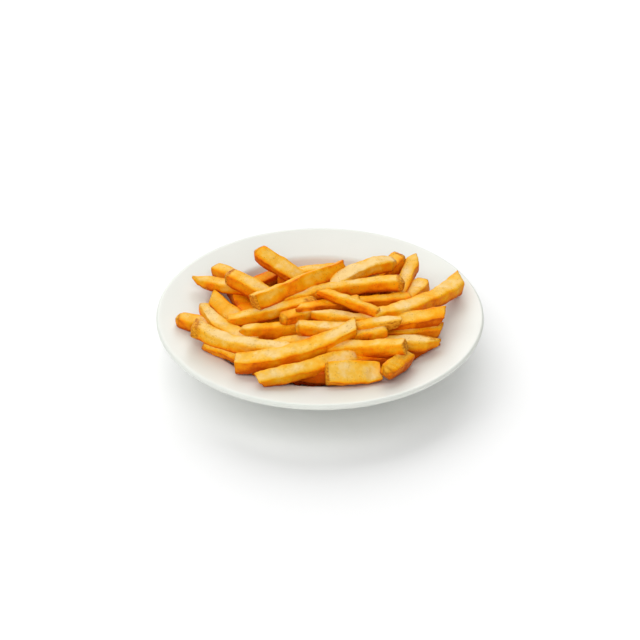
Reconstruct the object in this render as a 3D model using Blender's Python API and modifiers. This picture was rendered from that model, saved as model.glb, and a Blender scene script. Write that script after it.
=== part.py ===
"""A portion of french fries heaped in a deep white plate, at its real size.

Metres, +Z up. The origin is the middle of the plate's foot, on the surface that it stands on,
and the front of the portion looks along -Y. There are two solids: the turned plate, and the
heap of fries, which is one solid out to its uneven outline and lies in the plate.
"""

import math

import bmesh
import bpy
from mathutils import Matrix, Vector

MM = 0.001

# Plate, in millimetres: radii from the axis and heights above the table.
RIM_RADIUS = 120.0
RIM_HEIGHT = 38.0
LIP_THICKNESS = 4.0
WELL_RADIUS = 87.0
WELL_EDGE_HEIGHT = 30.5
WELL_EDGE_ROUND = 2.0
WALL_TURN = 72.0
WALL_THICKNESS = 4.5
FLOOR_RADIUS = 52.0
FLOOR_HEIGHT = 9.5
FOOT_OUTER_RADIUS = 61.0
FOOT_WIDTH = 7.0
FOOT_BEVEL = 0.8
UNDERSIDE_HEIGHT = 3.5
PLATE_STEPS = 80

# Heap, in millimetres: the packed middle under the fries that show, and the bars' own cuts.
CONTACT_GAP = 0.3
ROOM_HEIGHT = 80.0
CORE_PROFILE = ((0, 44), (30, 42), (48, 36), (64, 25), (70, 14), (70, 5), (0, 5))
CORE_STEPS = 20
BAR_CUTS = 3
TAPER_REACH = 0.25

# Each fry: the middle of its two ends, its width and height, its roll about its own length in
# degrees, how far its middle bows to the left of its run and upwards, and how much of the full
# section is left at each end.
FRIES = (
    # behind, on the left
    ("stray_back_left", (-44, 45, 58), (-2, 19, 42), (12, 10), 0, (0, 0), (0.9, 1)),
    ("behind_the_top", (-22, 30, 48), (19, 36, 51), (10, 9), 0, (0, 0), (1, 0.8)),
    ("under_the_stray", (-52, 33, 37), (-28, 51, 38), (9, 9), 10, (0, 0), (1, 1)),
    ("left_fat", (-68, 28, 50), (-30, 1, 42), (12, 11), 0, (0, 0), (0.9, 1)),
    ("left_blunt", (-80, 51, 41), (-52, 33, 37), (10, 9), 0, (0, 0), (0.9, 1)),
    ("left_pointed", (-98, 34, 42), (-50, 22, 39), (10, 9), 0, (2, 0), (0.35, 1)),
    ("left_hanging", (-82, 29, 36), (-42, -22, 28), (10, 9), 15, (0, 0), (1, 1)),
    ("left_shaded", (-60, 36, 31), (-51, -9, 31), (11, 9), 0, (0, 0), (1, 1)),
    # left side
    ("left_tip", (-88, -5, 45), (-43, -43, 43), (11, 9), 0, (-5, 0), (0.4, 1)),
    ("left_speckled", (-52, -39, 40), (-8, -30, 40), (10, 10), 0, (0, 0), (1, 1)),
    ("left_long", (-67, -24, 42), (-6, -10, 50), (9.5, 8.5), 0, (0, 0), (0.9, 1)),
    ("far_left", (-101, -18, 39), (-40, -27, 32), (11, 9), 0, (0, 0), (0.95, 1)),
    ("left_banana", (-90, -34, 44), (-20, -59, 42), (11, 10), 0, (-8, 0), (1, 1)),
    ("behind_the_front", (-34, -54, 40), (10, -38, 39), (10, 9), 0, (0, 0), (1, 1)),
    ("left_low", (-78, -36, 35), (-44, -58, 34), (9, 9), 0, (0, 0), (1, 1)),
    # front
    ("front_big", (-58, -70, 40), (24, -45, 53), (12, 11), 0, (-6, -3), (1, 0.8)),
    ("front_left", (-41, -90, 38), (24, -65, 40), (11, 10), 0, (2, 1), (0.9, 1)),
    ("front_broad", (5, -84, 39), (46, -80, 39), (13, 9), 20, (0, 0), (1, 1)),
    ("front_stub", (48, -83, 42), (61, -60, 36), (11, 11), 0, (0, 0), (0.85, 1)),
    ("front_strip", (16, -68, 40), (52, -64, 39), (9, 9), 0, (0, 0), (1, 1)),
    ("front_low", (-34, -73, 32), (24, -79, 33), (9, 9), 0, (0, 0), (1, 1)),
    ("front_low_right", (45, -64, 32), (83, -37, 35), (9, 8), 0, (0, 0), (1, 1)),
    # right side
    ("right_front", (12, -58, 44), (58, -65, 49), (11, 10), 0, (0, 0), (1, 0.95)),
    ("right_point", (46, -52, 42), (84, -46, 39), (11, 9), 0, (0, 0), (1, 0.35)),
    ("right_square", (40, -39, 41), (87, -27, 38), (9, 9), 0, (0, 0), (1, 1)),
    ("right_grainy", (32, -37, 45), (90, -26, 47), (11, 10), 0, (0, 0), (1, 1)),
    ("right_skin", (24, -42, 49), (56, -38, 52), (10, 8), 0, (0, 0), (1, 0.8)),
    ("right_yellow", (20, -48, 46), (46, -45, 48), (10, 8), 0, (0, 0), (1, 1)),
    ("right_banana", (38, -31, 51), (101, 26, 45), (12, 10), 0, (-7, 0), (1, 0.9)),
    ("right_blunt", (54, -8, 39), (77, 27, 43), (12, 10), 0, (0, 0), (1, 0.9)),
    ("right_spear", (57, 6, 43), (73, 54, 50), (10, 9), 0, (0, 0), (1, 0.3)),
    # middle and back right
    ("back_skin", (30, 14, 44), (60, 47, 51), (11, 10), 0, (0, 0), (1, 0.9)),
    ("back_pale", (12, 8, 56), (56, 36, 55), (12, 9), 0, (3, 3), (0.8, 0.9)),
    ("top_right", (-26, -2, 45), (61, 7, 56), (10, 9.5), 0, (4, 1), (1, 1)),
    ("top_olive", (-6, 9, 50), (30, 30, 50), (9, 9), 0, (0, 0), (1, 1)),
    ("top_slender", (0, -11, 60), (42, -33, 57), (7.5, 7), 0, (0, 0), (0.6, 1)),
    ("middle_shaded", (15, -12, 48), (67, -1, 47), (9, 9), 0, (0, 0), (1, 0.9)),
    ("middle_orange", (-16, -26, 53), (30, -16, 53), (9, 8), 0, (0, 0), (1, 1)),
    ("middle_pointed", (-6, -28, 51), (44, -35, 49), (9, 8), 0, (0, 0), (0.5, 1)),
    ("middle_crumbly", (-17, -40, 48), (20, -42, 47), (10, 9), 0, (0, 0), (1, 1)),
    ("middle_blunt", (-26, -27, 45), (12, -19, 45), (10, 9), 0, (0, 0), (1, 1)),
    # the topmost
    ("top_big", (-48, -14, 52), (16, 26, 60), (12, 11), 0, (0, 0), (1, 0.75)),
    # the side away from the front
    ("back_low", (-26, 56, 30), (34, 57, 31), (10, 9), 0, (0, 0), (1, 0.9)),
    ("back_right_low", (30, 50, 33), (68, 24, 33), (10, 9), 0, (0, 0), (0.9, 1)),
    ("back_left_low", (-56, 40, 27), (-24, 60, 32), (9, 9), 0, (0, 0), (1, 0.8)),
    ("back_middle", (-30, 38, 39), (36, 44, 40), (9, 10), 0, (0, 0), (1, 1)),
    ("right_low", (72, -28, 34), (74, 20, 34), (10, 9), 0, (0, 0), (1, 1)),
    ("left_side_low", (-66, -22, 27), (-64, 8, 26), (9, 9), 0, (0, 0), (1, 1)),
    ("back_steep", (-8, 42, 40), (18, 70, 24), (10, 9), 0, (0, 0), (1, 0.9)),
    ("back_across", (-46, 46, 31), (-6, 61, 31), (10, 9), 10, (2, 0), (0.9, 1)),
    ("back_slant", (22, 42, 41), (44, 64, 26), (9, 9), 0, (0, 0), (1, 1)),
    ("back_foot", (-36, 66, 25), (8, 69, 25), (10, 9), 0, (0, 0), (1, 1)),
    ("back_right_foot", (28, 66, 26), (61, 45, 26), (10, 9), 0, (0, 0), (0.9, 1)),
    ("right_side_low", (72, -16, 27), (64, 37, 26), (10, 9), 0, (0, 0), (1, 1)),
    ("left_side_foot", (-74, -6, 25), (-69, 20, 24), (10, 9), 0, (0, 0), (1, 1)),
)


def clear_scene():
    for found in list(bpy.data.objects):
        bpy.data.objects.remove(found, do_unlink=True)


def new_collection(name):
    made = bpy.data.collections.new(name)
    bpy.context.scene.collection.children.link(made)
    return made


def as_helper(found):
    """A shape that only cuts or joins, left out of the portion."""
    found.hide_render = True
    found.display_type = "WIRE"
    return found


def finish(name, colour, roughness):
    """A plain material of one colour."""
    material = bpy.data.materials.new(name)
    material.use_nodes = True
    shader = material.node_tree.nodes["Principled BSDF"]
    shader.inputs["Base Color"].default_value = (*colour, 1)
    shader.inputs["Roughness"].default_value = roughness
    shader.inputs["Metallic"].default_value = 0
    return material


def turned(name, profile, steps, folder):
    """A closed solid of revolution from a profile of (radius, height), which runs top to bottom."""
    mesh = bpy.data.meshes.new(name)
    points = [(radius * MM, 0, height * MM) for radius, height in profile]
    mesh.from_pydata(points, [(i, i + 1) for i in range(len(points) - 1)], [])
    made = bpy.data.objects.new(name, mesh)
    folder.objects.link(made)
    screw = made.modifiers.new("Turn", "SCREW")
    screw.steps = steps
    screw.render_steps = steps
    screw.use_merge_vertices = True
    screw.merge_threshold = 0.00005
    screw.use_smooth_shade = True
    return made


def arc(centre, radius, start, end, count):
    """Points of a circular arc in the profile plane, with its angles in degrees."""
    found = []
    for i in range(count + 1):
        angle = math.radians(start + (end - start) * i / count)
        found.append((centre[0] + radius * math.cos(angle), centre[1] + radius * math.sin(angle)))
    return found


def well_wall(count):
    """The inner wall, from the flat floor up towards the edge of the well: part of an ellipse."""
    turn = math.radians(WALL_TURN)
    across = (WELL_RADIUS - WELL_EDGE_ROUND - FLOOR_RADIUS) / math.sin(turn)
    rise = (WELL_EDGE_HEIGHT - WELL_EDGE_ROUND - FLOOR_HEIGHT) / (1 - math.cos(turn))
    found = []
    for i in range(count + 1):
        angle = turn * i / count
        found.append((FLOOR_RADIUS + across * math.sin(angle), FLOOR_HEIGHT + rise * (1 - math.cos(angle))))
    return found


def inner_surface(offset=0.0):
    """The upper side of the plate from the axis to the lip, raised by an offset."""
    well_edge = [
        (WELL_RADIUS - WELL_EDGE_ROUND * 0.3, WELL_EDGE_HEIGHT - WELL_EDGE_ROUND * 0.4),
        (WELL_RADIUS + WELL_EDGE_ROUND, WELL_EDGE_HEIGHT + WELL_EDGE_ROUND * 0.3),
    ]
    lip_start = (RIM_RADIUS - LIP_THICKNESS, RIM_HEIGHT - LIP_THICKNESS * 0.12)
    path = [(0, FLOOR_HEIGHT), *well_wall(8), *well_edge, lip_start]
    return [(radius, height + offset) for radius, height in path]


def plate_profile():
    middle_of_lip = (RIM_RADIUS - LIP_THICKNESS / 2, RIM_HEIGHT - LIP_THICKNESS / 2)
    lip = arc(middle_of_lip, LIP_THICKNESS / 2, 90, -90, 6)
    under_rim = (WELL_RADIUS + WELL_EDGE_ROUND, WELL_EDGE_HEIGHT - WALL_THICKNESS)
    under_wall = [
        (radius + WALL_THICKNESS * 0.75, height - WALL_THICKNESS * 0.6)
        for radius, height in reversed(well_wall(6)[2:-1])
    ]
    foot_inner_radius = FOOT_OUTER_RADIUS - FOOT_WIDTH
    foot = [
        (FOOT_OUTER_RADIUS + FOOT_BEVEL, UNDERSIDE_HEIGHT),
        (FOOT_OUTER_RADIUS, FOOT_BEVEL),
        (FOOT_OUTER_RADIUS - FOOT_BEVEL, 0),
        (foot_inner_radius + FOOT_BEVEL, 0),
        (foot_inner_radius, FOOT_BEVEL),
        (foot_inner_radius - FOOT_BEVEL, UNDERSIDE_HEIGHT),
        (0, UNDERSIDE_HEIGHT),
    ]
    return [*inner_surface(), *lip, under_rim, *under_wall, *foot]


def room_profile():
    """The space above the plate, a contact gap clear of its upper side."""
    floor = inner_surface(CONTACT_GAP)
    reach = floor[-1][0]
    return [(0, ROOM_HEIGHT), (reach, ROOM_HEIGHT), *reversed(floor)]


def full_share(share, ends):
    """How much of its full section a fry has at a share of its length."""
    from_end = min(share, 1 - share) / TAPER_REACH
    if from_end >= 1:
        return 1
    at_end = ends[0] if share < 0.5 else ends[1]
    return at_end + (1 - at_end) * from_end


def fry(name, start, end, section, roll, bow, ends, folder):
    """One fry: a box cut across its length, tapered to its ends and bent along its run."""
    start = Vector(start)
    run = Vector(end) - start
    along = run.normalized()
    left = Vector((0, 0, 1)).cross(along).normalized()
    turn = Matrix.Rotation(math.radians(roll), 3, along)
    side = turn @ left
    rise = turn @ along.cross(left)
    bend = left * bow[0] + Vector((0, 0, bow[1]))
    shape = bmesh.new()
    bmesh.ops.create_cube(shape, size=1)
    for i in range(1, BAR_CUTS + 1):
        bmesh.ops.bisect_plane(
            shape,
            geom=shape.verts[:] + shape.edges[:] + shape.faces[:],
            plane_co=(i / (BAR_CUTS + 1) - 0.5, 0, 0),
            plane_no=(1, 0, 0),
        )
    for vertex in shape.verts:
        share = vertex.co.x + 0.5
        full = full_share(share, ends)
        place = start + run * share + bend * (4 * share * (1 - share))
        place += side * (vertex.co.y * section[0] * full)
        place += rise * (vertex.co.z * section[1] * full)
        vertex.co = place * MM
    bmesh.ops.recalc_face_normals(shape, faces=shape.faces)
    mesh = bpy.data.meshes.new(name)
    shape.to_mesh(mesh)
    shape.free()
    made = bpy.data.objects.new(name, mesh)
    folder.objects.link(made)
    return as_helper(made)


def as_mesh(source, name, folder):
    """The evaluated shape of an object, as an object of its own."""
    graph = bpy.context.evaluated_depsgraph_get()
    mesh = bpy.data.meshes.new_from_object(source.evaluated_get(graph))
    made = bpy.data.objects.new(name, mesh)
    folder.objects.link(made)
    return made


def keep_outer_shell(mesh):
    """Drops the small shells that closed-in hollows leave, so that one closed body stays."""
    shape = bmesh.new()
    shape.from_mesh(mesh)
    left_over = set(shape.verts)
    shells = []
    while left_over:
        shell = []
        front = [left_over.pop()]
        while front:
            vertex = front.pop()
            shell.append(vertex)
            for edge in vertex.link_edges:
                other = edge.other_vert(vertex)
                if other in left_over:
                    left_over.remove(other)
                    front.append(other)
        shells.append(shell)
    shells.sort(key=len)
    for shell in shells[:-1]:
        bmesh.ops.delete(shape, geom=shell, context="VERTS")
    shape.to_mesh(mesh)
    shape.free()


def make_plate(folder):
    plate = turned("plate", plate_profile(), PLATE_STEPS, folder)
    plate.data.materials.append(finish("white_glaze", (0.83, 0.82, 0.77), 0.25))


def make_heap(folder, helpers):
    """The core and all the fries joined into one body, cut clear of the plate."""
    core = as_helper(turned("core", CORE_PROFILE, CORE_STEPS, helpers))
    room = as_helper(turned("room_in_the_plate", room_profile(), PLATE_STEPS, helpers))
    fries = new_collection("fries_to_join")
    fries.hide_render = True
    for row in FRIES:
        fry(*row, fries)
    whole = as_helper(as_mesh(core, "core_and_fries", helpers))
    join = whole.modifiers.new("Join the fries", "BOOLEAN")
    join.operand_type = "COLLECTION"
    join.collection = fries
    join.operation = "UNION"
    join.solver = "EXACT"
    join.use_self = True
    lie = whole.modifiers.new("Lie in the plate", "BOOLEAN")
    lie.operation = "INTERSECT"
    lie.object = room
    lie.solver = "EXACT"
    heap = as_mesh(whole, "fries_heap", folder)
    keep_outer_shell(heap.data)
    heap.data.materials.clear()
    heap.data.materials.append(finish("fried_potato", (0.72, 0.32, 0.05), 0.5))


def main():
    clear_scene()
    portion = new_collection("french_fries_portion")
    helpers = new_collection("helpers")
    helpers.hide_render = True
    make_plate(portion)
    make_heap(portion, helpers)


if __name__ == "__main__":
    main()
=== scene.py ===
"""A portion of french fries in a deep white plate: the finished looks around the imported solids.

Every fry is cut from a bar of potato, its skin end or its knife cuts first, then rounded by the
oil, bent along its run and laid in its place. Lengths in the tables are in millimetres.
"""

import math
import random

import bpy
import numpy as np
from mathutils import Matrix, Vector


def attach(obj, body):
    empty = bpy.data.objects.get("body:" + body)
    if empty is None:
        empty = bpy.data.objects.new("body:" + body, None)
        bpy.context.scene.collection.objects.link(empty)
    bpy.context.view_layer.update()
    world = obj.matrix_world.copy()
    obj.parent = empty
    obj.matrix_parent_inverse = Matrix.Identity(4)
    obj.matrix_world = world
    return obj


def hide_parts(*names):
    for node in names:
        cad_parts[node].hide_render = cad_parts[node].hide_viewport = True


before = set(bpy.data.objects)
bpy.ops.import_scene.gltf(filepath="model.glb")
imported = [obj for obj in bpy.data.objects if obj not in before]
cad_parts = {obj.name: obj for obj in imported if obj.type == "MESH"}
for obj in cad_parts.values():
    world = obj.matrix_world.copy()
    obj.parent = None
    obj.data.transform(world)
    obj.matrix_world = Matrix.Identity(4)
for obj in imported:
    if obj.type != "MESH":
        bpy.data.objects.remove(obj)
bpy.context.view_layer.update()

MM = 0.001

# Plate, to the sizes of its solid, with a softer turn to the top of its well.
RIM_RADIUS = 120.0
RIM_HEIGHT = 38.0
LIP_THICKNESS = 4.0
WELL_RADIUS = 87.0
WELL_EDGE_HEIGHT = 30.5
WELL_EDGE_ROUND = 2.0
WELL_EDGE_STEPS = 6
WALL_TURN = 60.0
WALL_THICKNESS = 4.5
FLOOR_RADIUS = 52.0
FLOOR_HEIGHT = 9.5
FOOT_OUTER_RADIUS = 61.0
FOOT_WIDTH = 7.0
FOOT_BEVEL = 0.8
UNDERSIDE_HEIGHT = 3.5
PLATE_STEPS = 160

# How a fry is cut and fried.
SPARE_LENGTH = 12.0
FINE_CELL = 0.85
COARSE_CELL = 1.3
OIL_ROUNDING = 12
TAPER_REACH = 0.25
WAVERS = ((41, 0.06), (19, 0.035), (9, 0.012))
GLAZE_GAP = 0.25

# Fries buried in the heap: how many, how far out, and the height of their middles.
BURIED_COUNT = 26
BURIED_REACH = 50
BURIED_HEIGHT = 38
BURIED_FALL = 9

# Ways to cut an end: each cut is (how far outside the end it crosses the fry's middle line, its
# turn towards the left, its turn upwards), and the side that it turns towards is cut back.
ENDS = {
    "square": ((1, 0, 0),),
    "buried": ((1, 0, 0),),
    "cut_left": ((1, 30, 0),),
    "cut_right": ((1, -30, 0),),
    "cut_up": ((1, 0, 28),),
    "cut_down": ((1, 0, -28),),
    "cut_under": ((1, 0, -14),),
    "cut_corner": ((1, -26, -20),),
    "steep_left": ((1.5, 48, 0),),
    "steep_right": ((1.5, -48, 0),),
    "blade_right": ((6, 0, 0), (1.5, -57, 0), (5, 0, -50)),
    "round": ((1.0, 0, 0), (2.3, 42, 0), (2.3, -42, 0), (2.2, 0, 40), (2.2, 0, -40)),
    "point": ((1.2, 0, 0), (3, 66, 0), (3, -66, 0), (4, 0, 45)),
    "spear": ((1.2, 0, 0), (3, 68, 0), (3, -68, 0), (4, 0, -50)),
    "horn": ((1.2, 0, 0), (5, 50, 0), (2, -72, 0), (4, 0, 45)),
}

# Each fry: its kind, the middle of its two ends, its width and height, its roll about its own
# length in degrees, how far its middle bows to the left of its run and upwards, the share of the
# full section left at each end, how its two ends are cut, and how deep its colour is; the deeper
# colours of the fries that lie in shade, under others or low in the heap, are painted shade.
FRIES = (
    # behind, on the left
    ("rounded", "stray_back_left", (-48, 46, 60), (-3, 19, 43), (13, 10), 22, (0, 0), (0.95, 1), ("round", "buried"), 0.42),
    ("rounded", "behind_the_top", (-22, 30, 48), (19, 36, 51), (10, 9), 0, (0, 0), (1, 0.8), ("square", "round"), 0.42),
    ("skin_tipped", "under_the_stray", (-52, 33, 37), (-28, 51, 38), (9, 9), 10, (0, 0), (1, 1), ("square", "square"), 0.62),
    ("skin_tipped", "left_fat", (-70, 29, 50), (-30, 1, 42), (12, 11), 0, (0, 0), (0.95, 1), ("round", "buried"), 0.18),
    ("rounded", "left_blunt", (-82, 53, 41), (-52, 33, 37), (10, 9), 0, (0, 0), (0.95, 1), ("round", "buried"), 0.3),
    ("skin_tipped", "left_pointed", (-91, 32, 41), (-50, 22, 39), (11, 8), 0, (2, 0), (0.8, 1), ("blade_right", "buried"), 0.2),
    ("square_cut", "left_hanging", (-80, 19, 33), (-50, -18, 30), (13, 10), 28, (0, 0), (1, 1), ("cut_right", "buried"), 0.36),
    # left_shaded's deep colour is painted shade under left_fat.
    ("square_cut", "left_shaded", (-65, 38, 31), (-49, -10, 34), (13, 10), 0, (0, 0), (1, 1), ("square", "buried"), 0.6),
    # on the left
    ("pointed", "left_tip", (-88, -7, 44), (-46, -43, 36), (12, 9), 0, (-5, 0), (0.85, 1), ("horn", "buried"), 0.22),
    ("square_cut", "left_speckled", (-57, -37, 41), (-8, -30, 40), (10, 11), -8, (0, 0), (0.9, 1), ("round", "cut_up"), 0.34),
    ("skin_tipped", "left_long", (-67, -24, 42), (-3, -9, 50), (9.5, 8.5), 0, (0, 0), (0.9, 1), ("cut_up", "round"), 0.25),
    ("rounded", "far_left", (-104, -16, 39), (-40, -27, 32), (11, 9), 0, (0, 0), (0.95, 1), ("round", "buried"), 0.25),
    ("skin_tipped", "left_banana", (-90, -34, 44), (-20, -59, 42), (11, 10), 0, (-8, 0), (1, 1), ("cut_right", "cut_left"), 0.2),
    ("square_cut", "behind_the_front", (-34, -54, 40), (10, -38, 39), (10, 9), 0, (0, 0), (1, 1), ("square", "square"), 0.2),
    ("square_cut", "left_low", (-81, -43, 37), (-48, -64, 35), (10, 9), 30, (0, 0), (1, 1), ("cut_up", "buried"), 0.3),
    # in front
    ("skin_tipped", "front_big", (-58, -72, 39.5), (25, -46, 52), (12, 12), 10, (-6, -3), (0.85, 0.82), ("square", "cut_right"), 0.23),
    ("square_cut", "front_left", (-41, -90, 38), (24, -65, 40), (11, 10), 22, (0, 0), (0.9, 1), ("cut_down", "square"), 0.25),
    ("skin_tipped", "front_broad", (5, -84, 39), (41, -81, 39.5), (16, 9), 48, (0, 0), (1, 0.8), ("square", "buried"), 0.3),
    ("rounded", "front_stub", (44.5, -90, 43.5), (60.5, -63, 39), (11, 10), 18, (0, 0), (0.85, 1), ("round", "square"), 0.4),
    # The deep colours of front_strip, front_low and front_low_right are painted shade under the fries above them.
    ("square_cut", "front_strip", (16, -68, 38), (52, -64, 37), (9, 9), 0, (0, 0), (1, 1), ("cut_up", "square"), 0.75),
    ("square_cut", "front_low", (-46, -70, 32), (24, -79, 33), (9, 9), 0, (0, 0), (1, 1), ("square", "square"), 0.8),
    ("square_cut", "front_low_right", (45, -60, 28), (82, -38, 34), (8, 7), 0, (0, 0), (1, 0.8), ("square", "cut_left"), 1.0),
    # on the right
    ("skin_tipped", "right_front", (0, -57, 40), (59, -66, 49), (11, 10), 0, (0, 0), (1, 0.95), ("buried", "square"), 0.25),
    ("pointed", "right_point", (46, -52, 42), (84, -46, 39), (11, 9), 0, (0, 0), (1, 0.9), ("buried", "spear"), 0.12),
    ("square_cut", "right_square", (40, -41, 41), (86, -29, 38), (9, 9), 0, (0, 0), (1, 1), ("buried", "cut_corner"), 0.36),
    ("square_cut", "right_grainy", (32, -37, 46), (87, -25, 48), (12, 9), 12, (0, 0), (1, 1), ("buried", "cut_corner"), 0.42),
    ("skin_tipped", "right_skin", (24, -42, 49), (56, -38, 52), (10, 8), 0, (0, 0), (1, 0.8), ("buried", "cut_down"), 0.25),
    ("rounded", "right_yellow", (20, -48, 46), (46, -45, 48), (10, 8), 0, (0, 0), (1, 1), ("buried", "square"), 0.3),
    ("square_cut", "right_banana", (38, -31, 51), (104, 27, 44), (12, 10), 0, (-7, 0), (1, 1.1), ("buried", "steep_right"), 0.25),
    ("rounded", "right_blunt", (56, -6, 39), (79, 30, 43), (12, 10), 0, (0, 0), (1, 0.9), ("buried", "round"), 0.2),
    ("pointed", "right_spear", (57, 6, 43), (73, 54, 50), (11, 9), 0, (0, 0), (1, 0.9), ("buried", "spear"), 0.28),
    # behind, on the right
    ("skin_tipped", "back_skin", (30, 14, 44), (63, 49, 53), (12, 11), 0, (0, 0), (1, 0.95), ("buried", "round"), 0.4),
    ("rounded", "back_pale", (8, 5, 53), (56, 36, 55), (12, 9), 0, (3, 3), (0.6, 0.9), ("steep_left", "round"), 0.1),
    ("skin_tipped", "top_right", (-26, -6, 48), (61, 7, 56), (10, 9.5), 0, (4, 1), (1, 1), ("buried", "round"), 0.28),
    ("square_cut", "top_olive", (-6, 9, 50), (30, 30, 50), (9, 9), 0, (0, 0), (1, 1), ("square", "square"), 0.55),
    # in the middle and on top
    ("skin_tipped", "top_slender", (0, -11, 60), (41, -32, 55), (7.5, 7), 0, (0, 0), (0.75, 1), ("cut_left", "square"), 0.32),
    ("square_cut", "middle_shaded", (15, -12, 48), (67, -1, 47), (9, 9), 0, (0, 0), (1, 0.9), ("buried", "cut_up"), 0.36),
    ("rounded", "middle_orange", (-14.5, -21.5, 51), (28, -12, 52), (9, 8), 0, (0, 0), (1, 1), ("cut_left", "square"), 0.5),
    ("pointed", "middle_pointed", (-6, -28, 51), (44, -35, 49), (9, 8), 0, (0, 0), (0.9, 1), ("point", "square"), 0.15),
    ("rounded", "middle_crumbly", (-17, -40, 48), (20, -42, 47), (10, 9), 0, (0, 0), (1, 1), ("round", "square"), 0.18),
    ("rounded", "middle_blunt", (-27.5, -32, 48.5), (4, -12, 46), (10.5, 9.5), 0, (0, 0), (1, 1), ("round", "buried"), 0.25),
    ("skin_tipped", "top_big", (-47, -14, 52), (16, 25, 58), (12, 12), -30, (0, 0), (1, 0.85), ("square", "cut_under"), 0.4),
    # the side away from the front
    ("square_cut", "back_low", (-26, 56, 30), (34, 57, 31), (10, 9), 0, (0, 0), (1, 0.9), ("square", "cut_left"), 0.3),
    ("rounded", "back_right_low", (30, 50, 33), (68, 24, 33), (10, 9), 0, (0, 0), (0.9, 1), ("square", "round"), 0.35),
    ("square_cut", "back_left_low", (-56, 40, 27), (-24, 60, 32), (9, 9), 0, (0, 0), (1, 0.8), ("square", "cut_right"), 0.4),
    ("skin_tipped", "back_middle", (-30, 38, 39), (36, 44, 40), (9, 10), 0, (0, 0), (1, 1), ("cut_left", "round"), 0.25),
    ("square_cut", "right_low", (72, -28, 34), (74, 20, 34), (10, 9), 0, (0, 0), (1, 1), ("square", "square"), 0.45),
    ("rounded", "left_side_low", (-66, -22, 27), (-64, 8, 26), (9, 9), 0, (0, 0), (1, 1), ("round", "square"), 0.5),
    ("pointed", "back_steep", (-8, 42, 40), (18, 70, 24), (10, 9), 0, (0, 0), (1, 0.9), ("square", "point"), 0.25),
    ("rounded", "back_across", (-46, 46, 31), (-6, 61, 31), (10, 9), 10, (2, 0), (0.9, 1), ("round", "square"), 0.3),
    ("square_cut", "back_slant", (22, 42, 41), (44, 64, 26), (9, 9), 0, (0, 0), (1, 1), ("square", "square"), 0.2),
    ("square_cut", "back_foot", (-36, 66, 25), (8, 69, 25), (10, 9), 0, (0, 0), (1, 1), ("cut_up", "cut_left"), 0.45),
    ("rounded", "back_right_foot", (28, 66, 26), (61, 45, 26), (10, 9), 0, (0, 0), (0.9, 1), ("round", "square"), 0.4),
    ("square_cut", "right_side_low", (72, -16, 27), (64, 37, 26), (10, 9), 0, (0, 0), (1, 1), ("square", "square"), 0.45),
    ("square_cut", "left_side_foot", (-74, -6, 25), (-69, 20, 24), (10, 9), 0, (0, 0), (1, 1), ("square", "square"), 0.5),
)

# Potato skin left on a fry: from which end, how far along it reaches, and round which side of
# the section it lies (0 is left of the run, 90 is up), or None for all round.
SKINS = {
    "under_the_stray": (("start", 26, 215),),
    "left_fat": (("start", 1.8, None),),
    "left_pointed": (("start", 1.4, 250),),
    "left_long": (("end", 7, 120),),
    "left_banana": (("start", 6, None),),
    "front_big": (("end", 1.2, None),),
    "front_broad": (("start", 1.8, None),),
    "right_front": (("end", 1.6, None),),
    "right_point": (("end", 4, 60),),
    "middle_crumbly": (("start", 2.5, 250),),
    "right_skin": (("end", 17, 190),),
    "back_skin": (("end", 1.8, None),),
    "top_right": (("end", 2.5, None),),
    "top_slender": (("start", 2.5, None),),
    "top_big": (("start", 1.6, None),),
    "behind_the_top": (("end", 2, None),),
    "back_middle": (("end", 2, None),),
}


# ---------------------------------------------------------------- surfaces


def group_socket(group, name, direction, kind, value=None):
    socket = group.interface.new_socket(name=name, in_out=direction, socket_type=kind)
    if value is not None:
        socket.default_value = value
    return socket


def node(tree, kind, **settings):
    made = tree.nodes.new(kind)
    for name, value in settings.items():
        setattr(made, name, value)
    return made


def join(tree, *pairs):
    for source, target in pairs:
        tree.links.new(source, target)


def maths(tree, operation, first, second=None, clamp=False):
    made = node(tree, "ShaderNodeMath", operation=operation, use_clamp=clamp)
    for socket, value in zip(made.inputs, (first, second)):
        if value is None:
            continue
        if isinstance(value, (int, float)):
            socket.default_value = value
        else:
            tree.links.new(value, socket)
    return made.outputs[0]


def noise(tree, place, scale, detail=3.0, roughness=0.5):
    made = node(tree, "ShaderNodeTexNoise")
    made.inputs["Scale"].default_value = scale
    made.inputs["Detail"].default_value = detail
    made.inputs["Roughness"].default_value = roughness
    tree.links.new(place, made.inputs["Vector"])
    return made.outputs["Fac"]


def cells(tree, place, scale, feature="F1"):
    made = node(tree, "ShaderNodeTexVoronoi", feature=feature)
    made.inputs["Scale"].default_value = scale
    tree.links.new(place, made.inputs["Vector"])
    return made


def ramp(tree, factor, stops):
    made = node(tree, "ShaderNodeValToRGB")
    band = made.color_ramp
    while len(band.elements) < len(stops):
        band.elements.new(0.5)
    for element, (place, colour) in zip(band.elements, stops):
        element.position = place
        element.color = (*colour, 1)
    tree.links.new(factor, made.inputs["Fac"])
    return made.outputs["Color"]


def blend(tree, factor, first, second, mode="MIX"):
    made = node(tree, "ShaderNodeMix", data_type="RGBA", blend_type=mode)
    sockets = (made.inputs[0], made.inputs[6], made.inputs[7])
    for socket, value in zip(sockets, (factor, first, second)):
        if isinstance(value, (int, float)):
            socket.default_value = value
        elif isinstance(value, tuple):
            socket.default_value = (*value, 1)
        else:
            tree.links.new(value, socket)
    return made.outputs[2]


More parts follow.
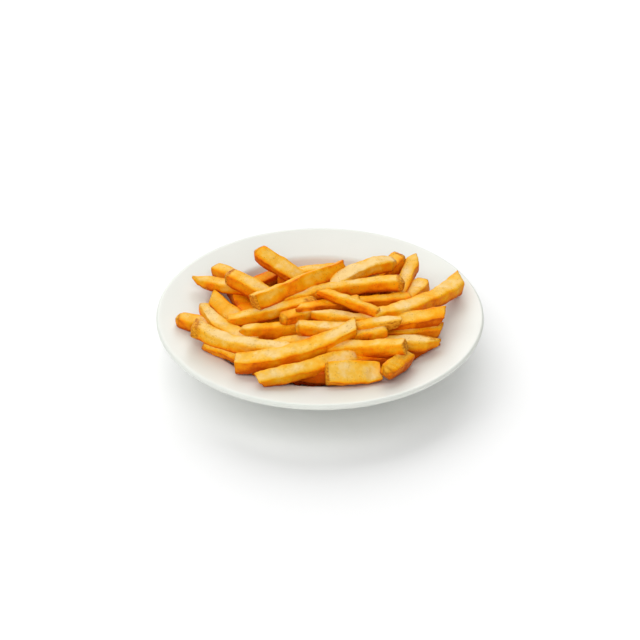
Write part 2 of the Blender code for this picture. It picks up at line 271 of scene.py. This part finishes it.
def fried_crust_group():
    """Fried potato: pale to deep gold by how toasted it is and by the painted light and shade carried with that,
    browned cut edges, skin and freckles.
    """
    group = bpy.data.node_groups.new("fried_crust", "ShaderNodeTree")
    group_socket(group, "Place", "INPUT", "NodeSocketVector")
    group_socket(group, "Toast And Shade", "INPUT", "NodeSocketFloat", 0.3)
    group_socket(group, "Browned Edge", "INPUT", "NodeSocketFloat", 0.0)
    group_socket(group, "Skin", "INPUT", "NodeSocketFloat", 0.0)
    group_socket(group, "Mottle", "INPUT", "NodeSocketFloat", 0.4)
    group_socket(group, "Colour", "OUTPUT", "NodeSocketColor")
    group_socket(group, "Roughness", "OUTPUT", "NodeSocketFloat")
    group_socket(group, "Height", "OUTPUT", "NodeSocketFloat")
    given = node(group, "NodeGroupInput").outputs
    put = node(group, "NodeGroupOutput").inputs
    place = given["Place"]

    broad = noise(group, place, 70, 2)
    patches = noise(group, place, 330, 4, 0.6)
    fine = noise(group, place, 1500, 3, 0.6)
    slow = maths(group, "MULTIPLY", maths(group, "SUBTRACT", broad, 0.5), 2.3)
    quick = maths(group, "MULTIPLY", maths(group, "SUBTRACT", patches, 0.5), 0.95)
    uneven = maths(group, "ADD", slow, quick)
    toast_and_shade = maths(group, "MULTIPLY_ADD", uneven, given["Mottle"])
    group.links.new(given["Toast And Shade"], toast_and_shade.node.inputs[2])
    toast_and_shade = maths(group, "ADD", toast_and_shade, maths(group, "MULTIPLY", maths(group, "SUBTRACT", fine, 0.5), 0.3), True)
    # The deep end of this ramp is reached by painted shade as well as by real browning.
    crust = ramp(group, toast_and_shade, (
        (0.0, (0.90, 0.63, 0.26)),
        (0.25, (0.905, 0.52, 0.066)),
        (0.5, (0.93, 0.405, 0.003)),
        (0.75, (0.93, 0.25, 0.0006)),
        (1.0, (0.62, 0.10, 0.0004)),
    ))
    stain = ramp(group, noise(group, place, 240, 5, 0.6), ((0.36, (0.94, 0.91, 0.82)), (0.58, (1, 1, 1))))
    crust = blend(group, 1.0, crust, stain, "MULTIPLY")

    freckle = cells(group, place, 420)
    near = maths(group, "LESS_THAN", freckle.outputs["Distance"], 0.16)
    chosen = maths(group, "GREATER_THAN", noise(group, freckle.outputs["Position"], 97, 0), 0.57)
    spots = maths(group, "MULTIPLY", near, chosen)
    crust = blend(group, maths(group, "MULTIPLY", spots, 0.6), crust, (0.36, 0.13, 0.015))
    pore = cells(group, place, 1000)
    pinprick = maths(group, "LESS_THAN", pore.outputs["Distance"], 0.25)
    scattered = maths(group, "GREATER_THAN", noise(group, pore.outputs["Position"], 150, 0), 0.56)
    pores = maths(group, "MULTIPLY", pinprick, scattered)
    crust = blend(group, maths(group, "MULTIPLY", pores, 0.6), crust, (0.45, 0.16, 0.01))

    broken = maths(group, "MULTIPLY_ADD", patches, 2.6)
    broken.node.inputs[2].default_value = -0.4
    edge_break = maths(group, "MULTIPLY", given["Browned Edge"], broken, True)
    crust = blend(group, edge_break, crust, (0.48, 0.15, 0.004))

    streaks = node(group, "ShaderNodeMapping")
    streaks.inputs["Scale"].default_value = (1, 1, 2.6)
    group.links.new(place, streaks.inputs["Vector"])
    hatch = noise(group, streaks.outputs[0], 420, 4, 0.65)
    skin_colour = ramp(group, hatch, (
        (0.34, (0.40, 0.10, 0.002)),
        (0.5, (0.67, 0.24, 0.006)),
        (0.66, (0.90, 0.45, 0.03)),
    ))
    torn = maths(group, "MULTIPLY", maths(group, "SUBTRACT", maths(group, "ADD", given["Skin"], maths(group, "MULTIPLY", patches, 0.7)), 0.72), 2.4, True)
    crust = blend(group, torn, crust, skin_colour)
    group.links.new(crust, put["Colour"])

    rough = maths(group, "MULTIPLY_ADD", fine, 0.25)
    rough.node.inputs[2].default_value = 0.38
    group.links.new(rough, put["Roughness"])

    grain = noise(group, place, 2600, 2, 0.6)
    blister = cells(group, place, 700, "SMOOTH_F1").outputs["Distance"]
    height = maths(group, "ADD", maths(group, "MULTIPLY", grain, 0.35), maths(group, "MULTIPLY", blister, 0.5))
    height = maths(group, "ADD", height, maths(group, "MULTIPLY", maths(group, "MULTIPLY", hatch, torn), 1.2))
    group.links.new(height, put["Height"])
    return group


def attribute(tree, name):
    return node(tree, "ShaderNodeAttribute", attribute_name=name).outputs["Fac"]


def fried_material(name, crust_group, mottle, relief):
    """A crust over one kind of fry, driven by what each of its points carries."""
    material = bpy.data.materials.new(name)
    material.use_nodes = True
    tree = material.node_tree
    shader = tree.nodes["Principled BSDF"]
    crust = node(tree, "ShaderNodeGroup", node_tree=crust_group)
    crust.inputs["Mottle"].default_value = mottle
    bump = node(tree, "ShaderNodeBump")
    bump.inputs["Strength"].default_value = relief
    bump.inputs["Distance"].default_value = 0.0006
    place = node(tree, "ShaderNodeTexCoord").outputs["Object"]
    join(
        tree,
        (place, crust.inputs["Place"]),
        (attribute(tree, "toast_and_shade"), crust.inputs["Toast And Shade"]),
        (attribute(tree, "browned_edge"), crust.inputs["Browned Edge"]),
        (attribute(tree, "skin"), crust.inputs["Skin"]),
        (crust.outputs["Colour"], shader.inputs["Base Color"]),
        (crust.outputs["Roughness"], shader.inputs["Roughness"]),
        (crust.outputs["Height"], bump.inputs["Height"]),
        (bump.outputs["Normal"], shader.inputs["Normal"]),
    )
    shader.inputs["Specular IOR Level"].default_value = 0.08
    return material


def glaze_material():
    """White glaze over stoneware, with the bare clay of the foot where it stands."""
    material = bpy.data.materials.new("white_glaze")
    material.use_nodes = True
    tree = material.node_tree
    shader = tree.nodes["Principled BSDF"]
    place = node(tree, "ShaderNodeTexCoord").outputs["Object"]
    drift = noise(tree, place, 14, 3)
    pool = noise(tree, place, 60, 2)
    glaze = ramp(tree, drift, ((0.3, (0.72, 0.74, 0.685)), (0.7, (0.745, 0.76, 0.71))))
    height = node(tree, "ShaderNodeSeparateXYZ")
    tree.links.new(place, height.inputs[0])
    bare = node(tree, "ShaderNodeMapRange")
    for socket, value in zip(("From Min", "From Max", "To Min", "To Max"), (0.0009, 0.0005, 0.0, 1.0)):
        bare.inputs[socket].default_value = value
    tree.links.new(height.outputs["Z"], bare.inputs["Value"])
    clay = ramp(tree, noise(tree, place, 900, 3), ((0.3, (0.55, 0.50, 0.42)), (0.7, (0.68, 0.63, 0.55))))
    tree.links.new(blend(tree, bare.outputs[0], glaze, clay), shader.inputs["Base Color"])
    sheen = maths(tree, "MULTIPLY_ADD", pool, 0.1)
    sheen.node.inputs[2].default_value = 0.3
    sheen = maths(tree, "ADD", sheen, maths(tree, "MULTIPLY", bare.outputs[0], 0.5))
    tree.links.new(sheen, shader.inputs["Roughness"])
    bump = node(tree, "ShaderNodeBump")
    shader.inputs["Specular IOR Level"].default_value = 0.35
    bump.inputs["Strength"].default_value = 0.12
    bump.inputs["Distance"].default_value = 0.0006
    join(tree, (noise(tree, place, 45, 2), bump.inputs["Height"]), (bump.outputs["Normal"], shader.inputs["Normal"]))
    return material


def core_material():
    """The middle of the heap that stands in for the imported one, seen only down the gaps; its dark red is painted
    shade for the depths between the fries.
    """
    material = bpy.data.materials.new("packed_fries_painted_shade")
    material.use_nodes = True
    tree = material.node_tree
    shader = tree.nodes["Principled BSDF"]
    place = node(tree, "ShaderNodeTexCoord").outputs["Object"]
    depth = noise(tree, place, 160, 4, 0.6)
    # Dark red: painted shade down the gaps of the heap.
    colour = ramp(tree, depth, ((0.3, (0.60, 0.035, 0.001)), (0.6, (0.80, 0.12, 0.003))))
    bump = node(tree, "ShaderNodeBump")
    bump.inputs["Distance"].default_value = 0.001
    join(
        tree,
        (colour, shader.inputs["Base Color"]),
        (depth, bump.inputs["Height"]),
        (bump.outputs["Normal"], shader.inputs["Normal"]),
    )
    shader.inputs["Roughness"].default_value = 0.6
    shader.inputs["Specular IOR Level"].default_value = 0.05
    return material


# ---------------------------------------------------------------- plate


def deselect_all():
    bpy.ops.object.select_all(action="DESELECT")


def arc(centre, radius, start, end, count):
    found = []
    for i in range(count + 1):
        angle = math.radians(start + (end - start) * i / count)
        found.append((centre[0] + radius * math.cos(angle), centre[1] + radius * math.sin(angle)))
    return found


def well_wall(count):
    """The inner wall, from the flat floor up towards the edge of the well: part of an ellipse."""
    turn = math.radians(WALL_TURN)
    across = (WELL_RADIUS - WELL_EDGE_ROUND - FLOOR_RADIUS) / math.sin(turn)
    rise = (WELL_EDGE_HEIGHT - WELL_EDGE_ROUND - FLOOR_HEIGHT) / (1 - math.cos(turn))
    found = []
    for i in range(count + 1):
        angle = turn * i / count
        found.append((FLOOR_RADIUS + across * math.sin(angle), FLOOR_HEIGHT + rise * (1 - math.cos(angle))))
    return found


def well_edge(before, wall_top, rim_start, lip_start):
    """The rounded edge of the well, from where the wall's line stops to where the rim's begins."""
    wall_slope = (wall_top[1] - before[1]) / (wall_top[0] - before[0])
    rim_slope = (lip_start[1] - rim_start[1]) / (lip_start[0] - rim_start[0])
    across = (rim_start[1] - wall_top[1] - rim_slope * (rim_start[0] - wall_top[0])) / (wall_slope - rim_slope)
    corner = (wall_top[0] + across, wall_top[1] + wall_slope * across)
    found = []
    for i in range(1, WELL_EDGE_STEPS + 1):
        share = i / WELL_EDGE_STEPS
        weights = ((1 - share) ** 2, 2 * share * (1 - share), share ** 2)
        found.append(tuple(
            sum(weight * point[axis] for weight, point in zip(weights, (wall_top, corner, rim_start)))
            for axis in (0, 1)
        ))
    return found


def plate_top():
    """The upper side of the plate, from the axis to the lip."""
    wall = well_wall(16)
    rim_start = (WELL_RADIUS + WELL_EDGE_ROUND, WELL_EDGE_HEIGHT + WELL_EDGE_ROUND * 0.3)
    lip_start = (RIM_RADIUS - LIP_THICKNESS, RIM_HEIGHT - LIP_THICKNESS * 0.12)
    rim = []
    for share in (0.06, 0.3, 0.6, 0.9):
        rim.append(tuple(a + (b - a) * share for a, b in zip(rim_start, lip_start)))
    edge = well_edge(wall[-2], wall[-1], rim_start, lip_start)
    return [(0, FLOOR_HEIGHT), (FLOOR_RADIUS / 2, FLOOR_HEIGHT), *wall, *edge, *rim, lip_start]


def plate_outline():
    lip = arc((RIM_RADIUS - LIP_THICKNESS / 2, RIM_HEIGHT - LIP_THICKNESS / 2), LIP_THICKNESS / 2, 90, -90, 12)
    under_rim = (WELL_RADIUS + WELL_EDGE_ROUND, WELL_EDGE_HEIGHT - WALL_THICKNESS)
    under_wall = [
        (radius + WALL_THICKNESS * 0.75, height - WALL_THICKNESS * 0.6)
        for radius, height in reversed(well_wall(12)[4:-1])
    ]
    foot_inner_radius = FOOT_OUTER_RADIUS - FOOT_WIDTH
    foot = [
        (FOOT_OUTER_RADIUS + FOOT_BEVEL, UNDERSIDE_HEIGHT),
        (FOOT_OUTER_RADIUS, FOOT_BEVEL),
        (FOOT_OUTER_RADIUS - FOOT_BEVEL, 0),
        (foot_inner_radius + FOOT_BEVEL, 0),
        (foot_inner_radius, FOOT_BEVEL),
        (foot_inner_radius - FOOT_BEVEL, UNDERSIDE_HEIGHT),
        (0, UNDERSIDE_HEIGHT),
    ]
    return [*plate_top(), *lip, under_rim, *under_wall, *foot]


def spun(name, outline, steps):
    """A closed turned body: its outline is drawn in the XZ plane, then spun round the axis."""
    mesh = bpy.data.meshes.new(name)
    points = [(radius * MM, 0, height * MM) for radius, height in outline]
    mesh.from_pydata(points, [(i, i + 1) for i in range(len(points) - 1)], [])
    made = bpy.data.objects.new(name, mesh)
    bpy.context.scene.collection.objects.link(made)
    deselect_all()
    bpy.context.view_layer.objects.active = made
    made.select_set(True)
    bpy.ops.object.mode_set(mode="EDIT")
    bpy.ops.mesh.select_all(action="SELECT")
    bpy.ops.mesh.spin(steps=steps, angle=2 * math.pi, center=(0, 0, 0), axis=(0, 0, 1))
    bpy.ops.mesh.select_all(action="SELECT")
    bpy.ops.mesh.remove_doubles(threshold=0.00002)
    bpy.ops.mesh.normals_make_consistent(inside=False)
    bpy.ops.object.mode_set(mode="OBJECT")
    return made


def make_plate(material):
    plate = spun("deep_plate", plate_outline(), PLATE_STEPS)
    bpy.ops.object.shade_smooth_by_angle(angle=math.radians(40))
    plate.data.materials.append(material)
    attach(plate, "root")
    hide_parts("plate")
    return plate


# ---------------------------------------------------------------- fries


def end_planes(length, start_style, end_style, chance):
    """The knife cuts at both ends of a straight bar along +X, as (end, point, outward normal)."""
    planes = []
    for end, style in (("start", start_style), ("end", end_style)):
        outward = -1 if end == "start" else 1
        for outside, left_turn, up_turn in ENDS[style]:
            left_turn = math.radians(left_turn + chance.uniform(-7, 7))
            up_turn = math.radians(up_turn + chance.uniform(-7, 7))
            normal = Vector((
                outward * math.cos(left_turn) * math.cos(up_turn),
                math.sin(left_turn) * math.cos(up_turn),
                math.sin(up_turn),
            ))
            x = (0 if end == "start" else length) + outward * outside
            planes.append((end, Vector((x, 0, 0)), normal))
    return planes


def cut_bar(name, length, section, planes, cell):
    """A bar of potato cut by hand to its length, then rounded off as the oil does."""
    deselect_all()
    bpy.ops.mesh.primitive_cube_add(size=1, location=(0, 0, 0))
    bar = bpy.context.active_object
    bar.name = name
    bpy.ops.object.mode_set(mode="EDIT")
    bpy.ops.mesh.select_all(action="SELECT")
    bpy.ops.transform.resize(value=((length + 2 * SPARE_LENGTH) * MM, section[0] * MM, section[1] * MM))
    bpy.ops.transform.translate(value=(length / 2 * MM, 0, 0))
    for _, point, normal in planes:
        bpy.ops.mesh.select_all(action="SELECT")
        bpy.ops.mesh.bisect(plane_co=point * MM, plane_no=normal, use_fill=True, clear_outer=True)
    bpy.ops.object.mode_set(mode="OBJECT")
    skin = bar.modifiers.new("Even cells", "REMESH")
    skin.mode = "VOXEL"
    skin.voxel_size = cell * MM
    soft = bar.modifiers.new("Round off", "SMOOTH")
    soft.factor = 0.5
    soft.iterations = OIL_ROUNDING
    for modifier in ("Even cells", "Round off"):
        bpy.ops.object.modifier_apply(modifier=modifier)
    return bar


def points_of(mesh):
    found = np.empty(len(mesh.vertices) * 3)
    mesh.vertices.foreach_get("co", found)
    return found.reshape(-1, 3) / MM


def set_points(mesh, points):
    mesh.vertices.foreach_set("co", (points * MM).ravel())
    mesh.update()


def set_values(mesh, name, values):
    layer = mesh.attributes.new(name, "FLOAT", "POINT")
    layer.data.foreach_set("value", np.asarray(values, dtype=np.float32))


def smooth_step(values):
    values = np.clip(values, 0, 1)
    return values * values * (3 - 2 * values)


def distances(points, planes, end=None):
    """How deep each point lies under each of the cuts of one end, or of both."""
    found = []
    for of_end, point, normal in planes:
        if end in (None, of_end):
            found.append(-(points - np.array(point)) @ np.array(normal))
    return np.array(found)


def browned_edges(points, section, planes, styles):
    """Close to the corners that the end cuts make with the sides."""
    deep = distances(points, planes)
    deep.sort(axis=0)
    to_cut = deep[0]
    to_side = np.minimum(section[0] / 2 - np.abs(points[:, 1]), section[1] / 2 - np.abs(points[:, 2]))
    second = np.minimum(np.maximum(to_cut, to_side), deep[1] if len(deep) > 2 else 99)
    from_tip = np.minimum(points[:, 0] - points[:, 0].min(), points[:, 0].max() - points[:, 0])
    near_tip = 1 - smooth_step((from_tip - 1.5) / 5)
    middle = (points[:, 0].min() + points[:, 0].max()) / 2
    near_tip[(points[:, 0] < middle) & (styles[0] == "buried")] = 0
    near_tip[(points[:, 0] > middle) & (styles[1] == "buried")] = 0
    return np.exp(-((np.maximum(second, 0) / 0.9) ** 2)) * np.exp(-((np.maximum(to_cut, 0) / 1.6) ** 2)) * near_tip


def long_edges(points, section):
    """Close to the four long corners of the bar."""
    to_side = section[0] / 2 - np.abs(points[:, 1])
    to_top = section[1] / 2 - np.abs(points[:, 2])
    return np.exp(-((np.maximum(np.maximum(to_side, to_top), 0) / 2.2) ** 2))


def near_ends(points, planes):
    return np.exp(-((np.maximum(distances(points, planes).min(axis=0), 0) / 6.5) ** 2))


def skin_left_on(points, section, planes, patches):
    total = np.zeros(len(points))
    for end, reach, side in patches:
        deep = distances(points, planes, end).min(axis=0)
        mask = smooth_step((reach * 1.6 - deep) / (reach * 1.4))
        if side is not None:
            turn = math.radians(side)
            across = points[:, 1] / section[0] * math.cos(turn) + points[:, 2] / section[1] * math.sin(turn)
            mask = mask * smooth_step((across - 0.22) / 0.22)
        total = np.maximum(total, mask)
    return total


def lay(points, start, end, roll, bow, ends, twist):
    """Bends straight points along +X onto a fry's run, tapered to its ends."""
    start = Vector(start)
    run = Vector(end) - start
    length = run.length
    along = run.normalized()
    left = Vector((0, 0, 1)).cross(along).normalized()
    turn = Matrix.Rotation(math.radians(roll), 3, along)
    side = np.array(turn @ left)
    rise = np.array(turn @ along.cross(left))
    bend = np.array(left * bow[0] + Vector((0, 0, bow[1])))
    share = points[:, 0] / length
    inner = np.clip(share, 0, 1)
    from_end = np.clip(np.minimum(inner, 1 - inner) / TAPER_REACH, 0, 1)
    at_end = np.where(inner < 0.5, ends[0], ends[1])
    full = at_end + (1 - at_end) * from_end
    angle = np.radians(twist) * (inner - 0.5)
    y = (points[:, 1] * np.cos(angle) - points[:, 2] * np.sin(angle)) * full
    z = (points[:, 1] * np.sin(angle) + points[:, 2] * np.cos(angle)) * full
    # A bowed run leans its sections over with it.
    lean = (4 - 8 * share)[:, None] * bend / length
    placed = np.array(start) + share[:, None] * np.array(run) + (4 * share * (1 - share))[:, None] * bend
    placed = placed + y[:, None] * side + z[:, None] * rise
    shift = (lean @ side) * y + (lean @ rise) * z
    return placed - shift[:, None] * np.array(along)


def lift_off_plate(points):
    """Nothing sinks into the glaze: what would is pressed flat on it."""
    top = plate_top()
    radii = [radius for radius, _ in top]
    heights = [height for _, height in top]
    away = np.hypot(points[:, 0], points[:, 1])
    ground = np.interp(away, radii, heights) + GLAZE_GAP
    points[:, 2] = np.maximum(points[:, 2], ground)
    return points


def clouds(name, scale, depth=2):
    made = bpy.data.textures.new(name, "CLOUDS")
    made.noise_scale = scale * MM
    made.noise_depth = depth
    return made


def roughen(fry, textures):
    """Dents, waves and blisters in the crust."""
    bpy.context.view_layer.objects.active = fry
    for texture, strength in textures:
        push = fry.modifiers.new(texture.name, "DISPLACE")
        push.texture = texture
        push.texture_coords = "LOCAL"
        push.strength = strength * MM
        push.mid_level = 0.5
        bpy.ops.object.modifier_apply(modifier=push.name)


def hand_cut(points, chance):
    """No bar is cut true: each of its four sides wavers in and out along its length."""
    made = points.copy()
    for axis in (1, 2):
        for side in (-1, 1):
            waver = np.zeros(len(points))
            for period, depth in WAVERS:
                waver += depth * np.sin(2 * math.pi * (points[:, 0] / period + chance.random()))
            here = points[:, axis] * side > 0
            made[here, axis] *= 1 + waver[here]
    return made


def fry_piece(row, seed, cell, textures):
    _, name, start, end, section, roll, bow, ends, styles, tone_and_shade = row
    chance = random.Random(seed)
    length = (Vector(end) - Vector(start)).length
    planes = end_planes(length, *styles, chance)
    fry = cut_bar(name, length, section, planes, cell)
    straight = points_of(fry.data)
    browned = browned_edges(straight, section, planes, styles)
    crisp = 0.32 * long_edges(straight, section) + 0.07 * near_ends(straight, planes)
    drift = 0.07 * np.sin(2 * math.pi * (straight[:, 0] / 43 + chance.random()))
    # Painted shade: each fry deepens towards the lower side of its section, where the fries under it shade it.
    painted_low_shade = 0.38 * smooth_step(0.42 - straight[:, 2] / section[1])
    skin = skin_left_on(straight, section, planes, SKINS.get(name, ()))
    wavy = hand_cut(straight, chance)
    set_points(fry.data, lay(wavy, start, end, roll, bow, ends, chance.uniform(-10, 10)))
    roughen(fry, textures)
    set_points(fry.data, lift_off_plate(points_of(fry.data)))
    normals = np.empty(len(fry.data.vertices) * 3, dtype=np.float32)
    fry.data.vertex_normals.foreach_get("vector", normals)
    facing_up = normals.reshape(-1, 3)[:, 2]
    # Painted light and shade: faces that look sideways or down are deepened towards orange, and faces that look up are
    # left pale, as the light from above falls.
    shaded = 0.42 * (1 - smooth_step((facing_up + 0.35) / 1.15))
    toast_and_shade = tone_and_shade - 0.115 + chance.uniform(-0.04, 0.04) + shaded + crisp + drift + painted_low_shade
    set_values(fry.data, "toast_and_shade", toast_and_shade)
    set_values(fry.data, "browned_edge", browned)
    set_values(fry.data, "skin", skin)
    return fry


def buried_fries():
    """Rows for the fries deep in the heap, which show only down its gaps."""
    chance = random.Random(11)
    rows = []
    while len(rows) < BURIED_COUNT:
        away = BURIED_REACH * math.sqrt(chance.random())
        bearing = chance.uniform(0, 2 * math.pi)
        heading = chance.uniform(0, math.pi)
        middle = Vector((away * math.cos(bearing), away * math.sin(bearing), 0))
        middle.z = BURIED_HEIGHT - BURIED_FALL * (away / BURIED_REACH) ** 2
        half = Vector((math.cos(heading), math.sin(heading), chance.uniform(-0.06, 0.06))) * chance.uniform(17, 24)
        ends = (middle - half, middle + half)
        if max(end.xy.length for end in ends) > BURIED_REACH + 6:
            continue
        kind = chance.choice(("square_cut", "rounded"))
        name = f"buried_{len(rows)}"
        roll = chance.uniform(-25, 25)
        # Their deep colour is painted shade for the depth of the heap.
        tone_and_shade = chance.uniform(0.5, 0.8)
        rows.append((kind, name, *map(tuple, ends), (9.5, 9), roll, (0, 0), (1, 1), ("square", "round"), tone_and_shade))
    return rows


def joined(name, fries, material):
    deselect_all()
    for fry in fries:
        fry.select_set(True)
    bpy.context.view_layer.objects.active = fries[0]
    bpy.ops.object.join()
    piece = bpy.context.active_object
    piece.name = name
    piece.data.name = name
    bpy.ops.object.shade_smooth()
    piece.data.materials.clear()
    piece.data.materials.append(material)
    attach(piece, "root")
    return piece


def make_fries(crust):
    textures = (
        (clouds("waves", 16), 2.2),
        (clouds("dents", 5), 0.6),
        (clouds("blisters", 1.6, 1), 0.22),
    )
    finishes = {
        "square_cut": fried_material("fried_square_cut", crust, 0.42, 0.5),
        "rounded": fried_material("fried_rounded", crust, 0.5, 0.6),
        "pointed": fried_material("fried_pointed", crust, 0.38, 0.45),
        "skin_tipped": fried_material("fried_skin_tipped", crust, 0.42, 0.5),
    }
    kinds = {}
    rows = [(row, FINE_CELL) for row in FRIES]
    rows += [(row, COARSE_CELL) for row in buried_fries()]
    for seed, (row, cell) in enumerate(rows):
        kinds.setdefault(row[0], []).append(fry_piece(row, seed, cell, textures))
    made = []
    for kind, fries in kinds.items():
        made.append(joined("fries_" + kind, fries, finishes[kind]))
    return made


def make_core(material):
    """The smaller packed heart of the heap, under the fries."""
    outline = ((0, 34), (20, 33.5), (36, 29), (50, 21), (58, 15), (61, 12), (58, 10.5), (0, 10))
    core = spun("heap_core", outline, 96)
    finer = core.modifiers.new("Finer", "SUBSURF")
    finer.levels = 2
    finer.render_levels = 2
    push = core.modifiers.new("Packed", "DISPLACE")
    push.texture = clouds("packing", 9)
    push.texture_coords = "LOCAL"
    push.strength = 5 * MM
    for modifier in ("Finer", "Packed"):
        bpy.ops.object.modifier_apply(modifier=modifier)
    set_points(core.data, lift_off_plate(points_of(core.data)))
    bpy.ops.object.shade_smooth()
    core.data.materials.append(material)
    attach(core, "root")
    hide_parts("fries_heap")
    return core


# ---------------------------------------------------------------- studio


CAMERA_ELEVATION = 32.94
CAMERA_DISTANCE = 1.110
CAMERA_AIM_HEIGHT = 0.038
CAMERA_LENS = 85
CAMERA_SHIFT_Y = -0.0175


def make_camera():
    tilt = math.radians(CAMERA_ELEVATION)
    view = Vector((0, math.cos(tilt), -math.sin(tilt)))
    camera = bpy.data.objects.new("camera", bpy.data.cameras.new("camera"))
    bpy.context.scene.collection.objects.link(camera)
    camera.location = Vector((0, 0, CAMERA_AIM_HEIGHT)) - view * CAMERA_DISTANCE
    camera.rotation_euler = (math.radians(90) - tilt, 0, 0)
    camera.data.lens = CAMERA_LENS
    camera.data.sensor_width = 36
    camera.data.shift_y = CAMERA_SHIFT_Y
    bpy.context.scene.camera = camera


def make_light(name, place, spread, strength, colour):
    lamp = bpy.data.lights.new(name, "SUN")
    lamp.angle = spread
    lamp.energy = strength
    lamp.color = colour
    made = bpy.data.objects.new(name, lamp)
    bpy.context.scene.collection.objects.link(made)
    made.location = place
    made.rotation_euler = (-Vector(place)).to_track_quat("-Z", "Y").to_euler()


def make_studio():
    scene = bpy.context.scene
    scene.view_settings.view_transform = "Standard"
    scene.view_settings.look = "None"
    world = bpy.data.worlds.new("studio")
    scene.world = world
    world.use_nodes = True
    background = world.node_tree.nodes["Background"]
    background.inputs["Color"].default_value = (1, 1, 1, 1)
    background.inputs["Strength"].default_value = 0.09
    make_light("front_softbox", (0, -0.7, 1.0), math.radians(65), 1.36, (1, 1, 0.99))
    make_light("low_front_softbox", (0, -1.0, 0.22), math.radians(50), 0.85, (1, 1, 1))
    make_light("back_softbox", (-0.12, 1.0, 0.82), math.radians(62), 2.2, (1, 1, 1))
    make_light("left_softbox", (-0.95, 0, 0.85), math.radians(50), 0.85, (1, 1, 1))
    deselect_all()
    bpy.ops.mesh.primitive_plane_add(size=10, location=(0, 0, -0.0002))
    floor = bpy.context.active_object
    floor.name = "floor"
    material = bpy.data.materials.new("white_paper")
    material.use_nodes = True
    shader = material.node_tree.nodes["Principled BSDF"]
    shader.inputs["Base Color"].default_value = (0.93, 0.93, 0.93, 1)
    shader.inputs["Roughness"].default_value = 0.9
    floor.data.materials.append(material)


make_camera()
make_studio()
make_plate(glaze_material())
make_core(core_material())
make_fries(fried_crust_group())
